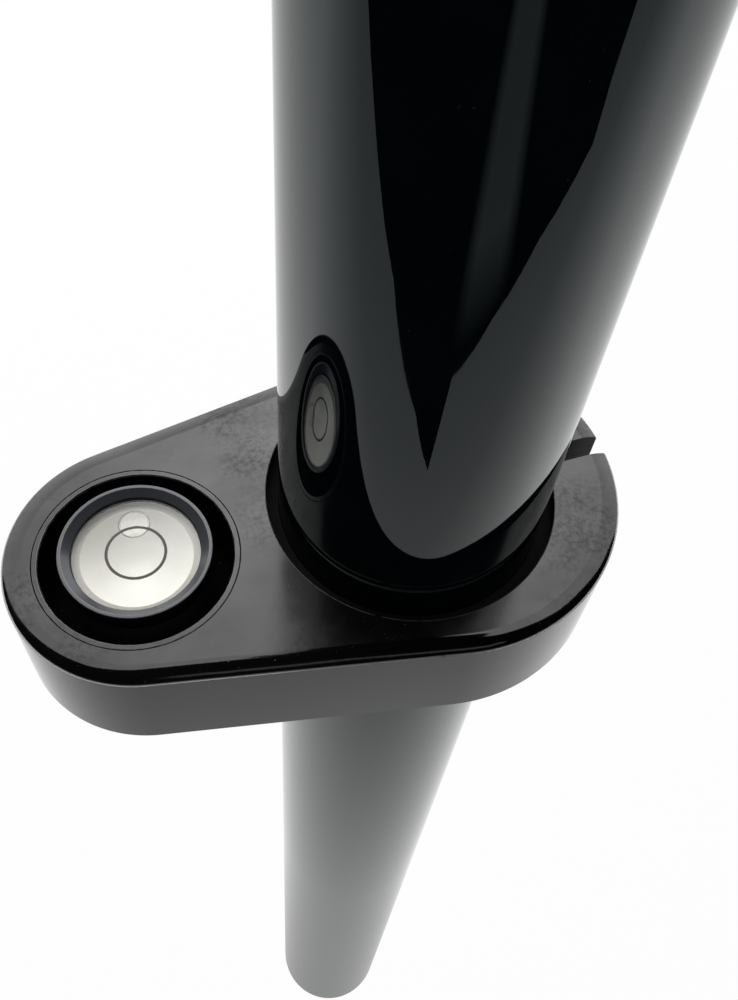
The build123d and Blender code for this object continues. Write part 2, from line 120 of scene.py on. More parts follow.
class Finish:
    """A material: one Principled shader, with what is the same all over set on its own sockets and the rest
    worked out by nodes from the piece's Object coordinates and its edge attribute, which holds wear, and on a
    few pieces painted highlights and painted shade."""

    def __init__(self, name, **fixed):
        self.material = bpy.data.materials.new(name)
        self.material.use_nodes = True
        self.nodes = self.material.node_tree.nodes
        self.links = self.material.node_tree.links
        self.shader = self.nodes["Principled BSDF"]
        for socket, value in fixed.items():
            self.shader.inputs[socket.replace("_", " ")].default_value = value

    def node(self, kind, inputs, **settings):
        """A new node; each input is a fixed value or the output that feeds it."""
        node = self.nodes.new("ShaderNode" + kind)
        for key, value in settings.items():
            setattr(node, key, value)
        for key, value in inputs.items():
            if isinstance(value, bpy.types.NodeSocket):
                self.links.new(value, node.inputs[key])
            else:
                node.inputs[key].default_value = value
        return node

    def place(self, stretch=(1, 1, 1), centre=(0, 0, 0)):
        """Object coordinates from a centre, in metres, stretched along each axis."""
        start = [-c * s for c, s in zip(centre, stretch)]
        inputs = {"Vector": self.node("TexCoord", {}).outputs["Object"], "Location": start, "Scale": stretch}
        return self.node("Mapping", inputs).outputs[0]

    def height(self):
        """Height in the part's frame, in metres."""
        return self.node("SeparateXYZ", {0: self.place()}).outputs["Z"]

    def edge(self):
        """The piece's edge attribute: its wear, with a painted highlight line on some edges and painted shade
        on the bubble's rim.
        """
        return self.node("Attribute", {}, attribute_name="edge").outputs["Fac"]

    def cloud(self, size, detail=4.0, stretch=(1, 1, 1), rough=0.55):
        """Soft noise from 0 to 1 whose patches are about the given size in millimetres."""
        look = {"Scale": 1 / (size * mm), "Detail": detail, "Roughness": rough}
        return self.node("TexNoise", {"Vector": self.place(stretch), **look}).outputs[0]

    def span(self, value, low, high, start=0.0, end=1.0):
        """The value's stretch from start to end, as a number from low to high."""
        return self.node("MapRange", {0: value, 1: start, 2: end, 3: low, 4: high}).outputs[0]

    def patches(self, size, start, end, detail=4.0, **look):
        """Noise that is 0 below start and 1 above end."""
        return self.span(self.cloud(size, detail, **look), 0.0, 1.0, start, end)

    def maths(self, operation, *values, clamp=False):
        """One arithmetic operation on its values."""
        return self.node("Math", dict(enumerate(values)), operation=operation, use_clamp=clamp).outputs[0]

    def both(self, operation, a, b):
        """Two values joined by one arithmetic operation, kept between 0 and 1."""
        return self.maths(operation, a, b, clamp=True)

    def total(self, first, second):
        """Sum of two spans, kept between 0 and 1."""
        return self.both("ADD", self.span(*first), self.span(*second))

    def wear_and_painted_light(self, size, bare):
        """Where the edge attribute is high, broken up by patches: rubbed edges, and on some edges a painted
        highlight line; a larger bare share wears more.
        """
        patchy = self.both("MULTIPLY", self.edge(), self.cloud(size, 5.0))
        return self.span(patchy, 0.0, 1.0, 0.6 - bare, 0.75 - bare)

    def mixed(self, share, a, b):
        """Colour a where the share is 0 and colour b where it is 1. A single number is a grey."""
        a, b = (c if isinstance(c, bpy.types.NodeSocket) else (*np.broadcast_to(c, 3), 1.0) for c in (a, b))
        return self.node("Mix", {0: share, 6: a, 7: b}, data_type="RGBA").outputs[2]

    def feed(self, **sockets):
        """Varies the shader's own sockets."""
        for socket, value in sockets.items():
            self.links.new(value, self.shader.inputs[socket.replace("_", " ")])

    def relief(self, height, depth, under=None):
        """Bumps of the given depth in millimetres, over any other relief."""
        inputs = {"Height": height, "Distance": depth * mm}
        if under is not None:
            inputs["Normal"] = under
        return self.node("Bump", inputs).outputs[0]

    def even(self, noise, colours, gloss, grain, depth):
        """One noise for colour and roughness, and a grain for the relief."""
        self.feed(
            Base_Color=self.mixed(noise, *colours),
            Roughness=self.span(noise, *gloss),
            Normal=self.relief(grain, depth),
        )


earth_top, earth_full = 30.0, 2.0
steel = Finish("ground_steel", Metallic=1.0)
lathe_rings = steel.cloud(0.16, 3.0, (0.04, 0.04, 1))
near_ground = steel.span(steel.height(), 0.0, 1.0, earth_top * mm, earth_full * mm)
earth = steel.both("MULTIPLY", steel.patches(3.0, 0.42, 0.62, 8.0), near_ground)
clean_steel = steel.mixed(lathe_rings, (0.46, 0.46, 0.47), (0.62, 0.62, 0.63))
steel.feed(
    Base_Color=steel.mixed(earth, clean_steel, (0.1, 0.08, 0.06)),
    Roughness=steel.total((lathe_rings, 0.2, 0.36), (earth, 0.0, 0.45)),
    Normal=steel.relief(earth, 0.12, steel.relief(lathe_rings, 0.012)),
)
tip_corners = [(0, 0), (0.22, 0.3), (5.2, 22), (3, 22), (3, 35.9), (0, 35.9)]
tip = lathed("tip", tip_corners, 0.25, steel, ring=False)
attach(tip, "pole")
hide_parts("steel_tip")


# Point
# A tapered point turned from aluminium bar, with two spanner flats, a knurled collar for the fingers and a
# threaded shank that screws into the pole's plug. The bare metal is satin, with dull patches and bright
# rubbed edges.
flats_bottom, flats_top, flats_across = 64.0, 78.0, 18.0
knurl_bottom, knurl_top, knurl_teeth, knurl_depth = 79.2, 84.8, 64, 0.28


def flats(bottom, top, across):
    """A form that cuts the radius to half the distance across over |sin angle| between two heights."""
    def cut(radius, angle, height):
        flat = across / 2 / np.maximum(np.abs(np.sin(angle)), 1e-6)
        return np.where((height > bottom) & (height < top), np.minimum(radius, flat), radius)

    return cut


point_flats = flats(flats_bottom + 0.1, flats_top - 0.1, flats_across)


def flats_and_knurl(radius, angle, height):
    """Spanner flats, and above them a knurl that lowers the radius by a triangle wave of the angle."""
    tooth = np.abs((angle * knurl_teeth / (2 * np.pi)) % 1 * 2 - 1)
    lowered = knurl_depth * tooth * ((height > knurl_bottom) & (height < knurl_top))
    return point_flats(radius, angle, height) - lowered


alloy = Finish("satin_turned_alloy", Metallic=1.0)
feed_rings = alloy.cloud(0.22, 3.0, (0.03, 0.03, 1))
tarnish = alloy.patches(9.0, 0.42, 0.66, 7.0)
satin = alloy.mixed(tarnish, (0.66, 0.67, 0.69), (0.46, 0.46, 0.47))
alloy.feed(
    Base_Color=alloy.mixed(alloy.wear_and_painted_light(1.2, 0.25), satin, (0.82, 0.82, 0.84)),
    Roughness=alloy.total((feed_rings, 0.24, 0.38), (tarnish, 0.0, 0.18)),
    Normal=alloy.relief(feed_rings, 0.015),
)
point_corners = [
    (0, 22), (5.2, 22), (11, flats_bottom), (11, flats_bottom + 0.2), (11, flats_top - 0.2), (11, flats_top),
    (13, flats_top), (13, knurl_bottom - 0.05), (13, knurl_bottom + 0.05), (13, knurl_top - 0.05),
    (13, knurl_top + 0.05), (13, 86), (9, 86), (9, 90), (5, 90), (5, 116), (0, 116),
]
tooth_steps = 4
point_turning = {"segments": knurl_teeth * tooth_steps, "form": flats_and_knurl}
point = lathed("point", point_corners, 0.4, alloy, ring=False, **point_turning)
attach(point, "pole")
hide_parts("point_body")


# Plug and outer tube
# The lower tube is wound fibre under a thick black clear coat, polished like a piano. An aluminium plug is
# bonded flush in its lower end for the point's shank. The coat shows smudges, a little dust and hairlines.
tube_radius, tube_wall, tube_bottom, tube_top = 16.0, 1.5, 90.0, 690.0


def ring_corners(outer, inner, bottom, top):
    """Outline of a plain ring."""
    return [(inner, bottom), (outer, bottom), (outer, top), (inner, top)]


def gloss_coat(name):
    """Gloss black lacquer: smudges and hairlines in the gloss, dust specks and a faint orange peel. Returns
    the finish, and its colour before anything is printed on it."""
    finish = Finish(name, IOR=1.5, Specular_Tint=(0.84, 0.98, 1.0, 1.0))
    smudges = finish.patches(14.0, 0.45, 0.75, 6.0)
    hairlines = finish.patches(0.12, 0.66, 0.74, 2.0, stretch=(1, 1, 0.012))
    dust = finish.patches(0.35, 0.75, 0.79, 2.0)
    gloss = finish.total((smudges, 0.012, 0.045), (hairlines, 0.0, 0.05))
    peel = finish.relief(finish.cloud(3.5, 2.0), 0.0022)
    finish.feed(Roughness=finish.both("ADD", gloss, finish.span(dust, 0.0, 0.4)), Normal=peel)
    lacquer = finish.mixed(smudges, (0.001, 0.0022, 0.003), (0.0018, 0.0032, 0.0042))
    return finish, finish.mixed(dust, lacquer, 0.03)


coat, coat_black = gloss_coat("gloss_black_coat")
coat.feed(Base_Color=coat_black)
tube_corners = ring_corners(tube_radius, tube_radius - tube_wall, tube_bottom, tube_top)
lower_tube = lathed("lower_tube", tube_corners, 0.3, coat, segments=320)
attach(lower_tube, "pole")
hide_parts("outer_tube")

plug_corners = [(0, 120), (5.05, 120), (5.05, 90), (14.45, 90), (14.45, 125), (0, 125)]
plug = lathed("plug", plug_corners, 0.4, alloy, ring=False)
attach(plug, "pole")
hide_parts("foot_insert")


# Twist locks
# Each larger tube carries a black anodised ferrule, a natural plastic collet in its nose, and a fluted collar
# of moulded black plastic. The collar screws down and its cone closes the collet on the smaller tube.
sleeve_length, sleeve_wall, seat_height, nose_height, nose_wall = 26.0, 3.0, 2.0, 12.0, 2.0
bond_gap, tube_gap, collet_room = 0.05, 0.5, 2.01
groove_rises, groove_depth, groove_width, groove_slope = (3.0, 5.2), 0.3, 0.8, 0.15
collar_gap, collar_wall, collar_bevel, thread_room = 0.5, 3.2, 1.0, 4.07
cone_room, cone_taper, cone_relief, cone_height, collet_step = 2.11, 1.1, 0.4, 8.0, 0.8
lip_gap, lip_height = 0.5, 3.0
flute_count, flute_radius, flute_depth, flute_margin, flute_fade = 18, 2.0, 0.8, 4.0, 1.4
grip_rows, grip_wear, corner_points, flute_steps = 22, 0.35, 7, 18

anodised = Finish("black_anodised_alloy", IOR=1.5)
fine_rings = anodised.cloud(0.3, 3.0, (0.03, 0.03, 1))
bare = anodised.wear_and_painted_light(1.5, 0.16)
handled = anodised.cloud(11.0, 6.0)
dyed = anodised.mixed(handled, (0.016, 0.017, 0.019), (0.026, 0.027, 0.03))
anodised.feed(
    Base_Color=anodised.mixed(bare, dyed, (0.5, 0.5, 0.52)),
    Metallic=bare,
    Roughness=anodised.total((fine_rings, 0.26, 0.36), (handled, -0.06, 0.1)),
    Normal=anodised.relief(fine_rings, 0.008),
)
grip = Finish("moulded_collar_plastic", IOR=1.5)
shiny = grip.wear_and_painted_light(2.5, 0.2)
grime = grip.cloud(7.0, 6.0)
grimy_black = grip.mixed(grime, (0.013, 0.013, 0.014), 0.024)
grip.feed(
    Base_Color=grip.mixed(shiny, grimy_black, 0.05),
    Roughness=grip.both("SUBTRACT", grip.span(grime, 0.46, 0.66), grip.span(shiny, 0.0, 0.14)),
    Normal=grip.relief(grip.cloud(0.35, 3.0), 0.03),
)
natural = Finish("natural_bearing_plastic", IOR=1.48, Subsurface_Weight=0.15, Subsurface_Scale=0.002)
grease = natural.patches(4.0, 0.5, 0.72, 6.0)
bush_colours = (0.74, 0.72, 0.65), (0.4, 0.37, 0.31)
natural.even(grease, bush_colours, (0.48, 0.3), natural.cloud(0.4, 3.0), 0.012)


def ferrule_corners(outer, inner, top):
    """Sleeve over the tube's end with two grip grooves, a seat on the end and a nose for the collet."""
    sleeve, bond, passage = outer + sleeve_wall, outer + bond_gap, inner + tube_gap
    bottom, seat, groove = top - sleeve_length, top + seat_height, sleeve - groove_depth
    nose_bore, nose_top = inner + collet_room, seat + nose_height
    nose = nose_bore + nose_wall
    corners = [(bond, bottom), (sleeve, bottom)]
    for rise in groove_rises:
        low, high = bottom + rise, bottom + rise + groove_width
        corners += [(sleeve, low), (groove, low + groove_slope)]
        corners += [(groove, high - groove_slope), (sleeve, high)]
    corners += [(sleeve, seat), (nose, seat), (nose, nose_top), (nose_bore, nose_top), (nose_bore, seat)]
    return corners + [(passage, seat), (passage, top), (bond, top)]


def collar_points(inner, top):
    """The collar's outline, and a form that lowers its outside by each flute's round hollow, which fades out
    towards the collar's ends."""
    bottom, cone = top + seat_height + collar_gap, top + seat_height + nose_height + collet_step
    thread, wide, mouth = inner + thread_room, inner + cone_room, inner + tube_gap
    outer, narrow, cone_top = thread + collar_wall, wide - cone_taper, cone + cone_height
    lip = cone_top + lip_gap
    collar_top = lip + lip_height
    below_grip = [(thread, bottom), (outer - collar_bevel, bottom), (outer, bottom + collar_bevel)]
    above_grip = [
        (outer, collar_top - collar_bevel), (outer - collar_bevel, collar_top), (mouth, collar_top),
        (mouth, lip), (narrow, lip), (narrow, cone_top), (wide, cone), (wide, cone - cone_relief),
        (thread, cone - cone_relief),
    ]
    points, edge_wear_and_light = eased(below_grip + above_grip, 0.45)
    margin = flute_margin - flute_fade
    heights = np.linspace(bottom + margin, collar_top - margin, grip_rows)
    before_grip = [len(below_grip) * corner_points] * grip_rows
    points = np.insert(points, before_grip, np.stack([0 * heights + outer, heights], -1), axis=0)
    edge_wear_and_light = np.insert(edge_wear_and_light, before_grip, grip_wear)

    def fluted(radius, angle, height):
        """Radius of the flute's cylinder where it cuts the collar: c cos a - sqrt(r^2 - (c sin a)^2)."""
        place = (angle * flute_count / (2 * np.pi) + 0.5) % 1 - 0.5
        turn = place * 2 * np.pi / flute_count
        reach = outer + flute_radius - flute_depth
        under = np.maximum(flute_radius**2 - (reach * np.sin(turn)) ** 2, 0)
        dip = np.clip(outer - (reach * np.cos(turn) - np.sqrt(under)), 0, flute_depth)
        middle, half = (bottom + collar_top) / 2, (collar_top - bottom) / 2 - flute_margin
        share = np.clip((half + flute_fade - np.abs(height - middle)) / flute_fade, 0, 1)
        outside = radius > outer - 0.001
        return radius - outside * dip * (under > 0) * share**2 * (3 - 2 * share)

    return points, edge_wear_and_light, fluted


for name, body, lock, outer, inner, top in (
    ("lower", "pole", "lower_lock", 16.0, 14.0, 690.0),
    ("upper", "mid_section", "upper_lock", 14.0, 12.0, 742.8),
):
    ferrule = lathed(f"{name}_sleeve", ferrule_corners(outer, inner, top), 0.35, anodised, segments=192)
    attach(ferrule, body)
    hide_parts(f"{name}_ferrule")
    points, edge_wear_and_light, fluted = collar_points(inner, top)
    collar_shape = turned(points, edge_wear_and_light, segments=flute_count * flute_steps, form=fluted)
    collar = shaped(f"{name}_collar", *collar_shape, grip)
    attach(collar, lock)
    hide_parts(f"{name}_lock_collar")
    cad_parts[f"{name}_collet"].data.materials[0] = natural.material


# Sliding tubes
# The two smaller tubes have the same black coat and a printed scale up one side: a tick each centimetre,
# longer ones at five and ten. Natural plastic bushes bonded in their lower ends guide them.
scale_half_angle = 0.2

scale, coat_black = gloss_coat("gloss_black_coat_with_scale")
position = scale.node("SeparateXYZ", {0: scale.place()}).outputs
outward = scale.maths("MULTIPLY", position["Y"], -1.0)
from_front = scale.maths("ABSOLUTE", scale.maths("ARCTAN2", position["X"], outward))
ink = None
for spacing, share, width in ((10.0, 0.45, 0.5), (50.0, 0.7, 0.5), (100.0, 1.0, 1.2)):
    from_tick = scale.maths("PINGPONG", position["Z"], spacing * mm / 2)
    tick = scale.maths("LESS_THAN", from_tick, width * mm / 2)
    reach = scale.maths("LESS_THAN", from_front, scale_half_angle * share)
    tick = scale.both("MULTIPLY", tick, reach)
    ink = tick if ink is None else scale.both("MAXIMUM", ink, tick)
ink = scale.both("MULTIPLY", ink, scale.patches(0.6, 0.3, 0.42))
scale.feed(Base_Color=scale.mixed(ink, coat_black, (0.62, 0.6, 0.5)))
for name, body, radius, bottom, top in (
    ("mid", "mid_section", 14.0, 129.5, 742.8),
    ("top", "top_section", 12.0, 146.0, 793.6),
):
    corners = ring_corners(radius, radius - tube_wall, bottom, top)
    sliding_tube = lathed(f"{name}_section_tube", corners, 0.3, scale, segments=256)
    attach(sliding_tube, body)
    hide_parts(f"{name}_tube")
    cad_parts[f"{name}_glide"].data.materials[0] = natural.material


# Antenna head and stud
# A black anodised cap bonded over the top tube, with two spanner flats under a broad shoulder. A steel stud
# with the survey thread, eleven turns to the inch, is pressed into it and carries the antenna.
head_flats_bottom, head_flats_top, head_flats_across = 793.6, 801.6, 27.0
thread_bottom, thread_top, thread_pitch, thread_depth, thread_steps = 808.1, 820.2, 25.4 / 11, 1.3, 14
stud_radius, stud_neck = 7.94, 6.84

head_corners = [
    (12.05, 769.6), (14.6, 769.6), (14.6, 793.6), (14.6, 793.8), (14.6, 801.4), (14.6, 801.6), (15.2, 801.6),
    (16, 802.4), (16, 805.8), (15.2, 806.6), (6.05, 806.6), (6.05, 793.6), (12.05, 793.6),
]
head_flats = flats(head_flats_bottom + 0.05, head_flats_top - 0.05, head_flats_across)
head = lathed("head", head_corners, 0.35, anodised, segments=256, form=head_flats)
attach(head, "top_section")
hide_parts("head_adapter")


def threaded(radius, angle, height):
    """Radius lowered by a triangle wave of height minus pitch times turns, flattened at crest and root, which
    grows from nothing over the first and last half turn."""
    turns = (height - thread_bottom) / thread_pitch - angle / (2 * np.pi)
    wave = np.clip(np.abs(turns % 1 * 2 - 1) * 1.35 - 0.17, 0, 1)
    grown = np.clip(np.minimum(height - thread_bottom, thread_top - height) / (0.5 * thread_pitch), 0, 1)
    return np.where(radius > stud_neck + 0.06, radius - thread_depth * wave * grown, radius)


def spun(name, outline, finish, **turning):
    """A turned piece with an outline from axis to axis, left as it is and without wear."""
    return shaped(name, *turned(outline, np.zeros(len(outline)), ring=False, **turning), finish)


stud_heights = np.arange(thread_bottom + 0.1, 819.35, thread_pitch / thread_steps)
stud_foot = [(0, 793.6), (6, 793.6), (6, 806.6), (stud_neck, 806.6), (stud_neck, 808.1), (stud_radius, 808.1)]
stud_thread = np.stack([0 * stud_heights + stud_radius, stud_heights], -1)
stud_crown = [(stud_radius, 819.4), (6.74, 820.6), (0, 820.6)]
stud_outline = np.concatenate([stud_foot, stud_thread, stud_crown])
stud = spun("stud", stud_outline, steel, segments=96, form=threaded)
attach(stud, "top_section")
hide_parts("antenna_stud")


# Level clamp liner
# A split sleeve of matt black rubber between the tube and the bracket, with a thin flange under the bracket,
# which stays put when the level is turned. The soft ring under the level is the same rubber.
rubber = Finish("matt_black_rubber", Specular_IOR_Level=0.12)
rubber.even(rubber.cloud(5.0, 7.0), (0.003, 0.009), (0.72, 0.92), rubber.cloud(0.25, 3.0), 0.02)
for name in ("clamp_liner", "vial_ring"):
    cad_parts[name].data.materials[0] = rubber.material


# Level bracket body
# A teardrop clamp moulded in black plastic with a satin wall and sharp edges; a painted highlight line runs
# along the wall's top edge. Its bore and the level's pocket are left dull from the mould. A saw cut runs
# through the clamp, and a screw with its nut crosses the cut.
pole_end, pole_end_radius = (3.06, -0.49), 22.47
vial_end, vial_end_radius = (-32.68, 0.0), 15.89
clamp_bore, slit_start, slit_low, slit_high = 17.77, 15.0, -2.1, 0.5
level_bottom, cover_bottom, level_top = 382.5, 397.2, 398.0
vial_x, vial_hole = -33.43, 11.81
pocket_floor, pocket_radius, pocket_step = 387.1, 11.08, 392.0
adjust_circle, adjust_head, adjust_depth, adjust_shank = 6.0, 2.0, 1.6, 1.1
screw_x, screw_z, screw_seat, screw_shank, screw_head = 20.97, 390.0, 4.5, 1.56, 2.95
screw_start, screw_end, nut_half, nut_faces, nut_slot_bottom = -9.0, 30.0, 2.8, (-7.05, -4.55), -10.0
below_all, above_floor, above_all = 380.0, 388.0, 400.0
between_ends = np.subtract(pole_end, vial_end)
skew = np.arctan2(between_ends[1], between_ends[0])
lean = np.arccos((vial_end_radius - pole_end_radius) / np.hypot(*between_ends))


def end_arc(centre, radius, start, end, count):
    """The centre plus the radius times (cos, sin) of an angle from start to end, one row per radius."""
    angle = start + (end - start) * np.linspace(0, 1, count)[None]
    return np.stack([centre[0] + radius * np.cos(angle), centre[1] + radius * np.sin(angle)], -1)


def clamp_loops(insets, bores, heights, centre):
    """Level i of the clamp plate: its outline moved in by inset i, from one face of the slit round both ends
    to the other, along the slit, round the bore, whose radius is bore i, and back along the slit."""
    inset, bore = np.asarray(insets, float)[:, None], np.asarray(bores, float)[:, None]
    large, small = pole_end_radius - inset, vial_end_radius - inset
    outline = [
        end_arc(pole_end, large, np.arcsin((slit_high - pole_end[1]) / large), skew + lean, 64),
        end_arc(vial_end, small, skew + lean, skew + 2 * np.pi - lean, 96),
        end_arc(pole_end, large, skew - lean, np.arcsin((slit_low - pole_end[1]) / large), 64),
    ]
    slit_angles = [np.arcsin((face - centre[1]) / bore) for face in (slit_low, slit_high)]
    hole = end_arc(centre, bore, slit_angles[0], slit_angles[1] - 2 * np.pi, 144)
    share = np.linspace(0, 1, 5)[None, 1:-1, None]
    inward = outline[2][:, -1:] * (1 - share) + hole[:, :1] * share
    outward = hole[:, -1:] * (1 - share) + outline[0][:, :1] * share
    loops = np.concatenate([*outline, inward, hole, outward], axis=1)
    height = np.broadcast_to(np.asarray(heights)[:, None, None], (*loops.shape[:2], 1))
    return np.concatenate([loops, height], -1)


def clamp_plate(insets, bores, heights, edge_wear_and_light, centre=(0, 0), hole=None, hole_steps=128):
    """The plate between its first and last level, whose flat faces are cut into triangles, with a plain round
    hole for the level where its radius is given. Returns points, faces and the wear, which on the body's top
    edge is a painted highlight line."""
    loops = clamp_loops(insets, bores, heights, centre)
    levels, count = loops.shape[:2]
    number = np.arange(levels * count).reshape(levels, count)
    beside = np.roll(number, -1, 1)
    faces = np.stack([number[:-1], beside[:-1], beside[1:], number[1:]], -1).reshape(-1, 4).tolist()
    points, wear_and_painted_light = loops.reshape(-1, 3), np.repeat(edge_wear_and_light, count)
    rims = [[number[0]], [number[-1]]]
    if hole is not None:
        angle = np.arange(hole_steps) * 2 * np.pi / hole_steps
        circle = np.stack([vial_x + hole * np.cos(angle), hole * np.sin(angle)], -1)
        for rim, height in zip(rims, (heights[0], heights[-1])):
            rim.append(len(points) + np.arange(hole_steps))
            points = np.concatenate([points, np.insert(circle, 2, height, axis=1)])
        low, high = rims[0][1], rims[1][1]
        faces += np.stack([low, high, np.roll(high, -1), np.roll(low, -1)], -1).tolist()
        wear_and_painted_light = np.concatenate([wear_and_painted_light, np.zeros(2 * hole_steps)])
    for rim, up in zip(rims, (-1, 1)):
        chosen = np.concatenate(rim)
        cut = np.array(tessellate_polygon([points[loop].tolist() for loop in rim]))
        a, b, c = (points[chosen[cut[:, corner]]] for corner in range(3))
        turned_over = ((b - a)[:, 0] * (c - a)[:, 1] - (b - a)[:, 1] * (c - a)[:, 0]) * up < 0
        cut[turned_over] = cut[turned_over][:, ::-1]
        faces += chosen[cut].tolist()
    return points, faces, wear_and_painted_light


dull = Finish("dull_black_moulding", Specular_IOR_Level=0.1)
core_grain = dull.cloud(0.4, 4.0)
# Small pale flecks in the colour are painted glints.
painted_glint_flecks = dull.patches(0.7, 0.67, 0.71, 3.0, stretch=(1, 1, 0.3))
dull.feed(
    Base_Color=dull.mixed(painted_glint_flecks, dull.mixed(core_grain, 0.001, 0.004), 0.12),
    Roughness=dull.span(core_grain, 0.7, 0.9),
    Normal=dull.relief(core_grain, 0.02),
)
sawn = Finish("sawn_black_plastic", Specular_IOR_Level=0.3)
saw_marks = sawn.cloud(0.5, 4.0, (0.15, 1, 1))
sawn.even(saw_marks, (0.004, 0.016), (0.4, 0.7), saw_marks, 0.03)


def dressed_faces(piece):
    """Faces that point straight up or down are flat in the light. The bore's upright wall and all of the
    level's pocket are dull from the mould, and both faces of the slit are sawn."""
    mesh = piece.data
    mesh.materials.append(dull.material)
    mesh.materials.append(sawn.material)
    facing_y, facing_z = np.abs([face.normal[1:] for face in mesh.polygons]).T
    x, y, z = np.array([face.center for face in mesh.polygons]).T / mm
    mesh.polygons.foreach_set("use_smooth", facing_z < 0.999)
    in_bore = (np.hypot(x, y) < clamp_bore + 0.3) & (facing_z < 0.1)
    in_pocket = (np.hypot(x - vial_x, y) < vial_hole + 0.05) & (z < cover_bottom - 0.01)
    in_pocket &= z > pocket_floor - 0.1
    in_slit = (facing_y > 0.99) & (x > slit_start) & (y > slit_low - 0.05) & (y < slit_high + 0.05)
    mesh.polygons.foreach_set("material_index", np.where(in_slit, 2, in_bore | in_pocket).astype(np.int32))


def cut_away(piece, points, faces):
    """Takes a closed shape out of a piece."""
    mesh = bpy.data.meshes.new("cut")
    mesh.from_pydata((np.asarray(points) * mm).tolist(), [], faces)
    tool = bpy.data.objects.new("cut", mesh)
    scene.collection.objects.link(tool)
    cutting = piece.modifiers.new("cut", "BOOLEAN")
    cutting.object = tool
    cutting.solver = "EXACT"
    result = bpy.data.meshes.new_from_object(piece.evaluated_get(bpy.context.evaluated_depsgraph_get()))
    piece.modifiers.clear()
    piece.data = result
    bpy.data.objects.remove(tool)


def cutter(*steps):
    """Points and faces of a turned cutter: each step is a radius and the height from which it holds, and the
    last one ends the cutter."""
    outline = [(0, steps[0][1])]
    for (radius, bottom), (_, top) in zip(steps, steps[1:]):
        outline += [(radius, bottom), (radius, top)]
    outline = np.array(outline + [(0, steps[-1][1])], float)
    return turned(outline, np.zeros(len(outline)), ring=False, segments=160)[:2]


wall = Finish("satin_black_moulding", IOR=1.5)
grain = wall.cloud(0.5, 4.0)
streaks = wall.cloud(9.0, 6.0, (0.35, 0.35, 1))
wall_black = wall.mixed(streaks, 0.004, 0.012)
# Grey where the edge attribute is high: a painted highlight line along the wall's top edge, and hardly any
# real rubbing at its foot.
wall.feed(
    Base_Color=wall.mixed(wall.wear_and_painted_light(1.8, 0.4), wall_black, 0.4),
    Roughness=wall.total((streaks, 0.06, 0.13), (grain, -0.015, 0.015)),
    Normal=wall.relief(grain, 0.006),
)
body_insets = [0.15, 0.11, 0.03, 0.0, 0.0, 0.02]
rises, drops = np.array([0.0, 0.01, 0.1, 0.15]), np.array([0.02, 0.0])
body_heights = np.concatenate([level_bottom + rises, cover_bottom - drops])
# Edge weight of each level: a little wear at the foot, and on the top edge a painted highlight line.
body_wear_and_highlight = [0, 0.2, 0.2, 0, 0, 1]
body_shape = clamp_plate(body_insets, np.full(len(body_insets), clamp_bore), body_heights, body_wear_and_highlight)
bracket = shaped("bracket_body", *body_shape, wall)

pocket, pocket_faces = cutter((pocket_radius, pocket_floor), (vial_hole, pocket_step), (0, above_all))
cut_away(bracket, pocket + (vial_x, 0, 0), pocket_faces)
shank_start = level_bottom + adjust_depth
adjust_hole, adjust_faces = cutter((adjust_head, below_all), (adjust_shank, shank_start), (0, above_floor))
for angle in np.radians([90.0, 210.0, 330.0]):
    place = (vial_x + adjust_circle * np.cos(angle), adjust_circle * np.sin(angle), 0)
    cut_away(bracket, adjust_hole + place, adjust_faces)
screw_hole, screw_faces = cutter((screw_shank, screw_start), (screw_head, screw_seat), (0, screw_end))
screw_way = np.stack([screw_x + screw_hole[:, 0], screw_hole[:, 2], screw_z - screw_hole[:, 1]], -1)
cut_away(bracket, screw_way, screw_faces)
nut_slot = [(x, y, z) for x in (-nut_half, nut_half) for y in nut_faces for z in (nut_slot_bottom, nut_half)]
slot_faces = [(0, 1, 3, 2), (4, 6, 7, 5), (0, 4, 5, 1), (2, 3, 7, 6), (0, 2, 6, 4), (1, 5, 7, 3)]
cut_away(bracket, np.array(nut_slot) + (screw_x, 0, screw_z), slot_faces)
bracket.data.set_sharp_from_angle(angle=math.radians(30))
dressed_faces(bracket)
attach(bracket, "level_bracket")
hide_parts("level_body")


# Level bracket cover
# A thin cover of smooth black plastic, bonded on the body a hair inside its outline, with the saw cut through
# it too. Its top shows smudges and dull scuffs and falls away in a crown near its edge. A painted highlight
# line runs round the bore's chamfer.
cover_bore, hole_centre = 17.45, (-0.25, -0.58)
cover_inset, crown_width, crown_drop, bore_chamfer = 0.2, 2.0, 0.6, 0.12
cover_edge, crown_step, crown_rows = 0.03, 0.02, 14

smooth = Finish("smooth_black_moulding", IOR=1.5)
smears = smooth.cloud(7.0, 7.0, (0.6, 1, 1))
mottle = smooth.cloud(0.9, 5.0)
specks = smooth.patches(0.3, 0.72, 0.76, 2.0)
haze = smooth.total((smears, 0.11, 0.26, 0.25, 0.75), (mottle, -0.04, 0.04))
scuffed = smooth.patches(14.0, 0.46, 0.6, 3.0)
scuffs = smooth.both("MULTIPLY", scuffed, smooth.patches(0.6, 0.42, 0.62, 6.0, rough=0.7))
upright = smooth.node("SeparateXYZ", {0: smooth.node("NewGeometry", {}).outputs["Normal"]}).outputs["Z"]
gloss = smooth.both("MULTIPLY", haze, smooth.span(upright, 0.35, 1.0, 0.994, 0.9995))
shine = smooth.span(smears, 0.42, 0.64, 0.3, 0.7)
black = smooth.mixed(smears, (0.0015, 0.0015, 0.002), (0.004, 0.004, 0.0045))
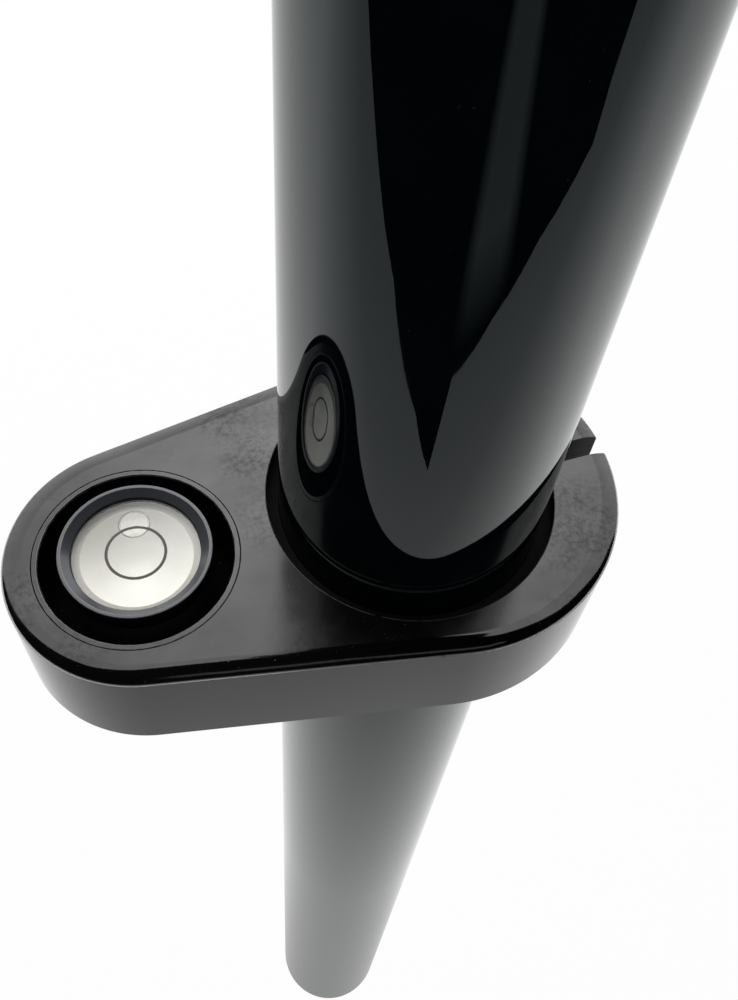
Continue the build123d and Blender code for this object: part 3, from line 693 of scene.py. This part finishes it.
# Grey where the edge attribute is high: a painted highlight line on the bore's chamfer.
smooth.feed(
    Base_Color=smooth.mixed(smooth.wear_and_painted_light(1.5, 0.3), smooth.mixed(specks, black, 0.06), 0.2),
    Roughness=smooth.both("ADD", gloss, smooth.span(specks, 0.0, 0.2)),
    Specular_IOR_Level=smooth.both("SUBTRACT", shine, smooth.span(scuffs, 0.0, 0.2)),
    Normal=smooth.relief(mottle, 0.0025, smooth.relief(smears, 0.008)),
)
to_outline = np.linspace(1, 0, crown_rows)
crown_insets, crown_heights = crown_width * (1 - to_outline), level_top - crown_drop * to_outline**1.5
cover_insets = cover_inset + np.concatenate([[cover_edge, 0.0], crown_insets, [crown_width + crown_step]])
cover_heights = np.concatenate([[cover_bottom, cover_bottom + cover_edge], crown_heights, [level_top]])
cover_bores = cover_bore + np.clip(cover_heights - level_top + bore_chamfer, 0, None)
cover_bores[-1] += cover_edge
unworn = np.zeros(len(cover_insets))
points, faces, wear_and_painted_light = clamp_plate(cover_insets, cover_bores, cover_heights, unworn, hole_centre, vial_hole)
# Only the bore's chamfer is marked, for a painted highlight line.
from_bore = np.hypot(points[:, 0] - hole_centre[0], points[:, 1] - hole_centre[1])
on_highlit_chamfer = points[:, 2] > level_top - bore_chamfer - 0.01
wear_and_painted_light[(from_bore < cover_bore + bore_chamfer + 0.01) & on_highlit_chamfer] = 1
cover = shaped("bracket_cover", points, faces, wear_and_painted_light, smooth)
dressed_faces(cover)
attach(cover, "level_bracket")
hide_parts("level_cover")


# Level bezel
# A thin ring of the same plastic that lines the mouth of the level's pocket, with a narrow chamfer round its
# mouth and a broken outer edge, which leaves a dark line round it.
bezel_corners = [
    (11.03, pocket_step), (11.76, pocket_step), (11.76, 397.86), (11.67, level_top), (11.15, level_top),
    (11.03, 397.88),
]
about_vial = {"segments": 160, "centre": (vial_x, 0)}
bezel = lathed("pocket_ring", bezel_corners, 0.04, smooth, **about_vial)
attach(bezel, "level_bracket")
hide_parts("vial_bezel")


# Clamp screw, nut and adjusting screws
# Plain zinc-plated steel: a socket screw across the slit with a square nut in the body, and three slotted
# screws from below that hold the level against its soft ring. The plating is uneven in colour and gloss.
zinc = Finish("zinc_plated_steel", Metallic=1.0)
plating = zinc.cloud(1.4, 6.0)
zinc.even(plating, ((0.42, 0.42, 0.41), 0.62), (0.42, 0.26), zinc.cloud(0.25, 3.0), 0.008)
for name in ("clamp_screw", "clamp_nut", "adjusting_screw_1", "adjusting_screw_2", "adjusting_screw_3"):
    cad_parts[name].data.materials[0] = zinc.material


# Level case
# A cup turned from aluminium and anodised blue-black. Its flange has a narrow flat rim and falls from it
# towards the glass like a funnel. A thin ring round its lip is coloured black, its outer side is painted
# near-black as the pocket's shade, and three screws from below hold it.
def away(finish, centre=(0, 0, 0), stretch=(1, 1, 1)):
    """Distance from a centre, in metres: the length of the stretched Object coordinates."""
    offset = finish.place(stretch, centre)
    return finish.node("VectorMath", {0: offset}, operation="LENGTH").outputs["Value"]


def from_vial_axis(finish):
    """Distance from the level's upright axis, in metres."""
    return away(finish, (vial_x * mm, 0, 0), (1, 1, 0))


cup = Finish("blue_black_anodised", IOR=1.5)
case_rings = cup.cloud(0.12, 3.0)
from_axis = from_vial_axis(cup)
# A thin ring round the lip is coloured black.
black_lip_ring = cup.span(from_axis, 1.0, 0.0, 7.34 * mm, 7.42 * mm)
# The cup's outer side is painted near-black: painted shade from the pocket round it.
outside = cup.span(from_axis, 0.0, 1.0, 8.66 * mm, 8.68 * mm)
case_colour = cup.mixed(case_rings, (0.036, 0.039, 0.046), (0.05, 0.053, 0.06))
case_colour = cup.mixed(cup.wear_and_painted_light(0.9, 0.3), case_colour, (0.13, 0.135, 0.145))
case_colour = cup.mixed(outside, case_colour, (0.004, 0.004, 0.005))
cup.feed(
    Base_Color=cup.mixed(black_lip_ring, case_colour, 0.001),
    Roughness=cup.total((case_rings, 0.14, 0.22), (black_lip_ring, 0.0, 0.6)),
    Normal=cup.relief(case_rings, 0.002),
)
case_corners = [
    (0, 389.6), (8.13, 389.6), (8.13, 396.9), (8.69, 396.9), (8.69, 399.41), (8.6, 399.5), (8.27, 399.5),
    (7.32, 398.79), (7.32, 392.2), (0, 392.2),
]
case = lathed("level_cup", case_corners, 0.05, cup, ring=False, **about_vial)
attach(case, "level_vial")
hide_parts("vial_case")


# Level bowl
# A white moulded cup whose hollow is a shallow sphere, with a flat land on which the clear cap is bonded with
# beige-grey glue. The white is a little warm and yellowed in places.
bowl_radius, bowl_mouth, bowl_depth, bowl_bottom, land_height = 7.26, 6.36, 3.2, 392.2, 397.3
hollow_radius = (bowl_mouth**2 + bowl_depth**2) / (2 * bowl_depth)


def hollow(mouth_first, beyond=0.0, steps=24):
    """Outline of the bowl's hollow between mouth and middle: the sphere's (R sin a, centre - R cos a)."""
    swing = np.linspace(np.arcsin(bowl_mouth / hollow_radius), 0, steps)
    swing = swing if mouth_first else swing[::-1]
    centre = land_height - bowl_depth + hollow_radius
    radius = hollow_radius + beyond
    return np.stack([radius * np.sin(swing), centre - radius * np.cos(swing)], -1)


white = Finish("warm_white_moulding", IOR=1.46, Subsurface_Weight=0.1, Subsurface_Scale=0.001)
yellowed = white.patches(2.5, 0.3, 0.8, 5.0)
glue_start, glue_full = (bowl_mouth - 0.03) * mm, (bowl_mouth + 0.05) * mm
on_land = white.span(from_vial_axis(white), 0.0, 1.0, glue_start, glue_full)
glue = white.both("MULTIPLY", white.span(white.cloud(0.6, 4.0), 0.7, 1.0), on_land)
hollow_white = white.mixed(yellowed, (0.86, 0.85, 0.81), (0.8, 0.78, 0.72))
white.feed(
    Base_Color=white.mixed(glue, hollow_white, (0.28, 0.27, 0.235)),
    Roughness=white.span(yellowed, 0.34, 0.5),
    Normal=white.relief(white.cloud(0.3, 3.0), 0.004),
)
bowl_side = [(0, bowl_bottom), (bowl_radius, bowl_bottom), (bowl_radius, land_height)]
bowl = spun("white_bowl", np.concatenate([bowl_side, hollow(True)]), white, **about_vial)
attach(bowl, "level_vial")
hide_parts("vial_bowl")


# Level liquid and clear cap
# The cap is clear moulded acrylic, polished and slightly domed, bonded on the bowl's land. The clear oil
# below it fills the bowl, and bends light as much as the cap does, so cap and oil are one clear body.
cap_edge, cap_rise, cap_overlap, cap_rows = 398.4, 0.36, 0.02, 20
clear = Finish("clear_cap_and_oil", IOR=1.45, Transmission_Weight=1.0)
fine_dust = clear.patches(0.25, 0.74, 0.78, 2.0)
cap_colours = (0.97, 0.97, 0.94), (0.7, 0.7, 0.66)
clear.even(fine_dust, cap_colours, (0.004, 0.2), clear.cloud(2.0, 2.0), 0.0008)


def cap_height(radius):
    """Height of the cap's top: its edge plus the rise times 1 - (radius / bowl radius)^2."""
    return cap_edge + cap_rise * (1 - (radius / bowl_radius) ** 2)


cap_radii = np.linspace(bowl_radius - cap_overlap, 0, cap_rows)
cap_top = np.stack([cap_radii, cap_height(cap_radii)], -1)
cap_side = [(bowl_radius - cap_overlap, land_height - cap_overlap)]
cap = spun("clear_cap", np.concatenate([hollow(False, cap_overlap), cap_side, cap_top]), clear, **about_vial)
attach(cap, "level_vial")
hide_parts("vial_glass")


# Printed circle
# One thin brown-black ring of ink printed on the cap's dome, into which the bubble is brought. Its edge is
# a little uneven.
mark_radius, mark_width, ink_bottom, ink_top = 3.33, 0.34, 0.003, 0.02
brown = Finish("circle_ink", IOR=1.5)
ink_edge = brown.cloud(0.3, 4.0)
ink_colours = (0.012, 0.01, 0.008), (0.03, 0.025, 0.02)
brown.even(ink_edge, ink_colours, (0.4, 0.6), ink_edge, 0.004)
mark_inner, mark_outer = mark_radius - mark_width / 2, mark_radius + mark_width / 2
mark_outline = np.array(ring_corners(mark_outer, mark_inner, ink_bottom, ink_top))
mark_outline[:, 1] += cap_height(mark_outline[:, 0])
mark = shaped("circle_line", *turned(mark_outline, np.zeros(len(mark_outline)), **about_vial), brown)
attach(mark, "level_vial")
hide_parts("vial_mark")


# Bubble
# Air in the oil, flattened against the cap and rounded below. Light leaves the oil at its skin, so the
# shader's index is that of air divided by that of oil; its steep rim is painted grey, a thin line of painted
# shade.
bubble_radius, bubble_height, bubble_place, bubble_angle = 1.85, 0.5, 4.36, math.radians(82)
bubble_top, share_above = land_height - 0.06, 0.15
air = Finish("air_bubble", IOR=1 / 1.45, Transmission_Weight=1.0)
skin = air.cloud(0.8, 2.0)
# Grey on the rim: painted shade.
painted_rim_shade = air.span(air.edge(), 0.0, 1.0, 0.2, 0.8)
clear_skin = air.mixed(skin, (0.86, 0.86, 0.84), (0.92, 0.92, 0.9))
air.feed(Base_Color=air.mixed(painted_rim_shade, clear_skin, (0.3, 0.3, 0.28)), Roughness=air.span(skin, 0.0, 0.01))
swing = np.linspace(0, np.pi, 28)
bulge = np.where(swing < np.pi / 2, 1 - share_above, share_above) * bubble_height
bubble_rise = bubble_top - share_above * bubble_height - bulge * np.cos(swing)
bubble_outline = np.stack([bubble_radius * np.sin(swing) ** 0.8, bubble_rise], -1)
bubble_outline[[0, -1], 0] = 0.0
bubble_rim_shade_mask = (bubble_outline[:, 0] > 0.93 * bubble_radius).astype(float)
bubble_centre = (vial_x + bubble_place * math.cos(bubble_angle), bubble_place * math.sin(bubble_angle))
bubble_shape = turned(bubble_outline, bubble_rim_shade_mask, ring=False, segments=96, centre=bubble_centre)
bubble = shaped("air_bubble", *bubble_shape, air, crease=60)
for glassy in (cap, bubble):
    glassy.visible_shadow = False
    glassy.visible_diffuse = False
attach(bubble, "vial_bubble")
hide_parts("bubble")


# Studio
# A pale floor under a white surround and one large soft light above and behind the pole. Reflections alone
# see a dark mat with a pale strip on the camera's side, a bright wall behind the pole, a dark wall before it
# and a slot of light, and on the floor a painted shadow, darker towards the camera and round the pole's foot.
# The camera leans over the level, close to the tube.
level_place = np.array([-0.01, 0.0, 0.398])
to_camera = np.array([-0.40, -0.92, 0.0])
sideways = np.array([to_camera[1], -to_camera[0], 0.0])
floor_height, mat_height, strip_height = -0.0002, 0.001, 0.002


def stage_shape(name, points, faces, paint):
    """A stage object from points in metres, faces and a paint."""
    mesh = bpy.data.meshes.new(name)
    mesh.from_pydata(points, [], faces)
    mesh.materials.append(paint.material)
    card = bpy.data.objects.new(name, mesh)
    scene.collection.objects.link(card)
    return card


def panel(name, corners, paint):
    """A flat stage panel through its corners."""
    return stage_shape(name, corners, [tuple(range(len(corners)))], paint)


def along(finish, direction, centre=(0, 0, 0)):
    """Distance from a centre along a direction, in metres: the dot product of the two."""
    inputs = {0: finish.place(centre=centre), 1: tuple(direction)}
    return finish.node("VectorMath", inputs, operation="DOT_PRODUCT").outputs["Value"]


def light(finish, strength, colour=(1, 1, 1)):
    """A shader that gives off light."""
    return finish.node("Emission", {"Color": (*colour, 1), "Strength": strength}).outputs[0]


def show(finish, shader):
    """Makes a shader the whole look of a paint."""
    finish.links.new(shader, finish.nodes["Material Output"].inputs["Surface"])


pale = Finish("pale_floor", Roughness=0.9, Specular_IOR_Level=0.0, Base_Color=(0.85, 0.85, 0.85, 1))
# Reflections see the floor darker towards the camera and round the pole's foot: painted shadow.
painted_shade_toward_camera = pale.span(along(pale, to_camera), 0.95, 0.46, -0.05, 0.25)
reflection_with_painted_shadow = pale.both("MULTIPLY", painted_shade_toward_camera, pale.span(away(pale), 0.55, 1.0, 0.015, 0.07))
path = pale.node("LightPath", {}).outputs
mirror = light(pale, reflection_with_painted_shadow)
floor_look = pale.shader.outputs[0]
shadow = pale.node("MixShader", {0: 0.05, 1: light(pale, 1.0), 2: floor_look}).outputs[0]
for kind, seen in (("Is Camera Ray", shadow), ("Is Glossy Ray", mirror), ("Is Transmission Ray", mirror)):
    floor_look = pale.node("MixShader", {0: path[kind], 1: floor_look, 2: seen}).outputs[0]
show(pale, floor_look)
floor_outline = [(-12, -12), (12, -12), (12, 12), (-12, 12)]
panel("floor", [(x, y, floor_height) for x, y in floor_outline], pale)

dark = Finish("dark_card", Roughness=1.0, Specular_IOR_Level=0.0, Base_Color=(0.004, 0.004, 0.004, 1))
mat_outline = [
    (-1.3, 0.43), (-0.765, 0.005), (-0.4, -0.225), (-0.2, -0.291), (-0.1, -0.296), (-0.097, -0.372),
    (0.02, -0.438), (0.17, -0.491), (0.36, -0.515), (0.41, -0.585), (0.55, -0.72), (1.2, -1.3), (-0.8, -2.2),
]
mat = panel("dark_mat", [(x, y, mat_height) for x, y in mat_outline], dark)

strip_middle, strip_half = -0.137 * sideways, 0.12 * sideways
strip_start, strip_end = (strip_middle + reach * to_camera + (0, 0, strip_height) for reach in (0.4, 1.08))
strip_corners = [
    strip_start + strip_half, strip_start - strip_half, strip_end - strip_half, strip_end + strip_half
]
faint = Finish("grey_strip", Roughness=1.0)
from_middle = faint.maths("ABSOLUTE", along(faint, sideways, strip_middle))
strip_sides = faint.span(from_middle, 0.27, 0.0, 0.06, 0.115)
strip_foot = faint.span(along(faint, to_camera, strip_middle), 0.0, 1.0, 0.4, 0.5)
show(faint, light(faint, faint.both("MULTIPLY", strip_sides, strip_foot), (0.95, 1.0, 0.95)))
strip = panel("pale_strip", [tuple(corner) for corner in strip_corners], faint)


def dome(name, outline, radius, paint, columns=73, rows=13):
    """Part of a sphere about the level. Each row of the outline gives an azimuth and the lowest and highest
    elevation there, in degrees, with straight lines between rows."""
    given, low, high = np.array(outline, float).T
    around, up = np.meshgrid(np.linspace(given[0], given[-1], columns), np.linspace(0, 1, rows))
    azimuth = np.radians(around)
    elevation = np.radians((1 - up) * np.interp(around, given, low) + up * np.interp(around, given, high))
    flat = np.cos(elevation)
    shell = np.stack([flat * np.cos(azimuth), flat * np.sin(azimuth), np.sin(elevation)], -1).reshape(-1, 3)
    number = np.arange(rows * columns).reshape(rows, columns)
    faces = np.stack([number[:-1, :-1], number[:-1, 1:], number[1:, 1:], number[1:, :-1]], -1).reshape(-1, 4)
    return stage_shape(name, (radius * shell + level_place).tolist(), faces.tolist(), paint)


slot_radius, far_radius, near_radius = 2.4, 2.5, 2.6
lit = Finish("lit_wall", Roughness=1.0)
hot_spot = level_place + far_radius * np.array([0.22, 0.58, 0.78])
glow_inputs = {0: away(lit, tuple(hot_spot)), 1: 0.0, 2: 1.05, 3: 5.1, 4: 2.5}
glow = lit.node("MapRange", glow_inputs, interpolation_type="SMOOTHSTEP").outputs[0]
show(lit, light(lit, lit.maths("MULTIPLY", glow, lit.span(lit.height(), 0.9, 1.0, 1.9, 2.3))))
far_wall = dome("far_wall", [
    (-29, 70, 71), (-25, 62, 74), (-20, 53, 74), (-12, 47, 74), (-6, 38, 74), (1, 32, 74), (14, 5, 74),
    (30, 5, 74), (45, 5, 79), (60, 5, 86), (75, 5, 90), (128, 5, 90), (140, 28, 90), (150, 38, 90),
    (159, 49, 90), (168, 60, 90), (179, 70, 90),
], far_radius, lit)
near_wall = dome("near_wall", [(110, 3, 90), (390, 3, 90)], near_radius, dark)
slot_paint = Finish("slot_light", Roughness=1.0)
show(slot_paint, light(slot_paint, 0.7))
slot_outline = [(245, 68.5, 70.5), (275, 68.5, 70.5), (309, 59.5, 61.5)]
slot = dome("light_slot", slot_outline, slot_radius, slot_paint)
for mirrored in (mat, strip, far_wall, near_wall, slot):
    mirrored.visible_camera = False
    mirrored.visible_diffuse = False
    mirrored.visible_shadow = False
    mirrored.visible_transmission = False


def placed(item, axes, place):
    """Puts an object in the scene at a place in metres, with its x, y and z turned to the three axes."""
    rows = [[*row, shift] for row, shift in zip(np.stack(axes, -1), place)]
    item.matrix_world = Matrix(rows + [[0, 0, 0, 1]])
    scene.collection.objects.link(item)


lamp_data = bpy.data.lights.new("top_light", "AREA")
lamp_data.shape = "SQUARE"
lamp_data.size = 1.4
lamp_data.energy = 25.5
lamp_distance = 1.4
lamp = bpy.data.objects.new("top_light", lamp_data)
lamp.visible_glossy = False
lamp_way = np.array([0.03, 0.70, 0.71])
facing = lamp_way / np.linalg.norm(lamp_way)
lamp_side = np.cross([0, 0, 1], facing)
lamp_side /= np.linalg.norm(lamp_side)
placed(lamp, [lamp_side, np.cross(facing, lamp_side), facing], level_place + lamp_distance * facing)

world = bpy.data.worlds.new("white_surround")
world.use_nodes = True
scene.world = world
sky = world.node_tree.nodes
links = world.node_tree.links
ray = sky.new("ShaderNodeLightPath")
plain, bright = sky["Background"], sky.new("ShaderNodeBackground")
for background, strength in ((plain, 0.3), (bright, 1.0)):
    background.inputs["Color"].default_value = (1, 1, 1, 1)
    background.inputs["Strength"].default_value = strength
surface = plain.outputs[0]
for kind in ("Is Camera Ray", "Is Glossy Ray", "Is Transmission Ray"):
    choice = sky.new("ShaderNodeMixShader")
    links.new(ray.outputs[kind], choice.inputs[0])
    links.new(surface, choice.inputs[1])
    links.new(bright.outputs[0], choice.inputs[2])
    surface = choice.outputs[0]
links.new(surface, sky["World Output"].inputs["Surface"])

camera_data = bpy.data.cameras.new("camera")
camera_data.lens = 38.097
camera_data.sensor_width = 36.0
camera_data.clip_start = 0.005
camera = bpy.data.objects.new("camera", camera_data)
right = np.array([0.94315, -0.32621, 0.0637])
down = np.array([-0.24238, -0.80618, -0.53975])
forward = np.array([0.22743, 0.49362, -0.83941])
placed(camera, [right, -down, -forward], np.array([-34.36, -62.95, 504.14]) * mm)
scene.camera = camera
scene.view_settings.view_transform = "Standard"
